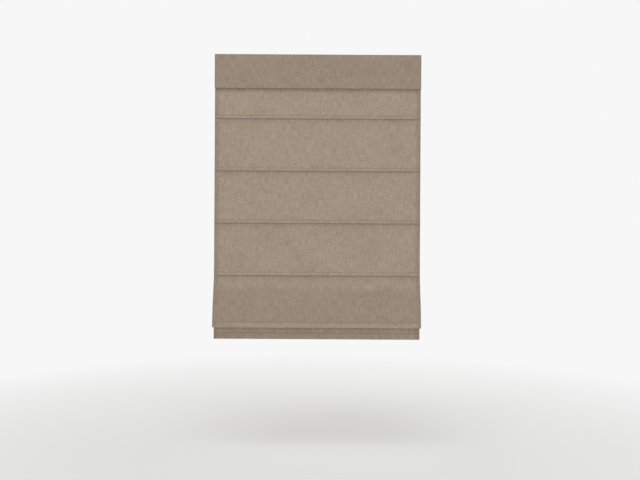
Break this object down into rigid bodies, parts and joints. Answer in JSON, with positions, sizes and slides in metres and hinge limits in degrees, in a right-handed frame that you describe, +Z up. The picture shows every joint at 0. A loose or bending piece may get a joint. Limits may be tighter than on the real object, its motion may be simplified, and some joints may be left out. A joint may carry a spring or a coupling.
{
  "type": "roman blind",
  "caption": "Cordless roman blind with a valance, battened cloth that gathers upwards, and a headrail that holds a sprung lift with spools and cords.",
  "frame": {"origin": "middle of the four ceiling holes, on the upper face of the brackets", "axes": "+X to the viewer's right, -Y out of the front of the blind, +Z up"},
  "size_m": [0.902, 0.0958, 1.25],
  "materials": {
    "cloth": "slubbed plain weave",
    "rail": "satin white paint",
    "steel": "zinc plated",
    "spring": "blue-grey spring strip",
    "shaft": "drawn",
    "plastic": "moulded white",
    "drum": "moulded off-white",
    "guide": "moulded, glossy",
    "cord": "braided polyester",
    "fastener": "touch fastener",
    "batten": "pultruded",
    "wood": "bare pine"
  },
  "bodies": {
    "headrail": {"headrail": "rail", "end_cap_left": "plastic", "end_cap_right": "plastic", "bracket_left": "steel", "bracket_right": "steel", "spool_cradle_left": "plastic", "spool_cradle_right": "plastic", "motor_frame": "plastic", "storage_axle": "steel", "power_spring": "spring", "hook_strip": "fastener", "loop_strip": "fastener", "valance_fastener": "fastener", "valance_batten": "wood", "valance": "cloth", "shade_cloth": "cloth", "lift_cord_left": "cord", "lift_cord_right": "cord"},
    "lift_shaft": {"lift_shaft": "shaft", "spool_left": "drum", "spool_right": "drum", "output_drum": "drum"},
    "storage_drum": {"storage_drum": "drum"},
    "first_line": {"batten_1": "batten", "pocket_1": "cloth"},
    "second_line": {"batten_2": "batten", "pocket_2": "cloth", "cord_guides_2": "guide"},
    "third_line": {"batten_3": "batten", "pocket_3": "cloth"},
    "lowest_fold": {"batten_4": "batten", "pocket_4": "cloth", "cord_guides_4": "guide", "flap_cloth": "cloth", "batten_5": "batten", "pocket_5": "cloth", "back_fold_cloth": "cloth"},
    "tail": {"batten_6": "batten", "pocket_6": "cloth", "cord_ties": "guide", "tail_cloth": "cloth", "bottom_rail": "rail", "rail_cap_left": "plastic", "rail_cap_right": "plastic"}
  },
  "joints": [
    {"name": "stack_lift", "type": "slide", "parent": "headrail", "child": "lowest_fold", "axis": [0, 0, 1], "range_m": [0, 0.81], "deforming": ["shade_cloth", "lift_cord_left", "lift_cord_right"]},
    {"name": "first_line_rise", "type": "slide", "parent": "headrail", "child": "first_line", "axis": [0, 0, 1], "range_m": [0, 0.2337]},
    {"name": "second_line_rise", "type": "slide", "parent": "headrail", "child": "second_line", "axis": [0, 0, 1], "range_m": [0, 0.4262]},
    {"name": "third_line_rise", "type": "slide", "parent": "headrail", "child": "third_line", "axis": [0, 0, 1], "range_m": [0, 0.6186]},
    {"name": "fold_drop", "type": "slide", "parent": "lowest_fold", "child": "tail", "axis": [0, 0, 1], "range_m": [-0.376, 0], "deforming": ["back_fold_cloth", "lift_cord_left", "lift_cord_right"]},
    {"name": "shaft_turn", "type": "hinge", "parent": "headrail", "child": "lift_shaft", "pos_m": [0, -0.00865, -0.0172], "axis": [-1, 0, 0], "range_deg": [0, 5915]},
    {"name": "storage_turn", "type": "hinge", "parent": "headrail", "child": "storage_drum", "pos_m": [0, 0.01335, -0.0172], "axis": [1, 0, 0], "range_deg": [0, 7631.4]}
  ],
  "couplings": [
    {"joint": "first_line_rise", "follows": "stack_lift", "ratio": 0.28734},
    {"joint": "second_line_rise", "follows": "stack_lift", "ratio": 0.5249},
    {"joint": "third_line_rise", "follows": "stack_lift", "ratio": 0.76245},
    {"joint": "shaft_turn", "follows": "stack_lift", "rad_per_m": 127.39},
    {"joint": "storage_turn", "follows": "stack_lift", "rad_per_m": 164.37}
  ]
}
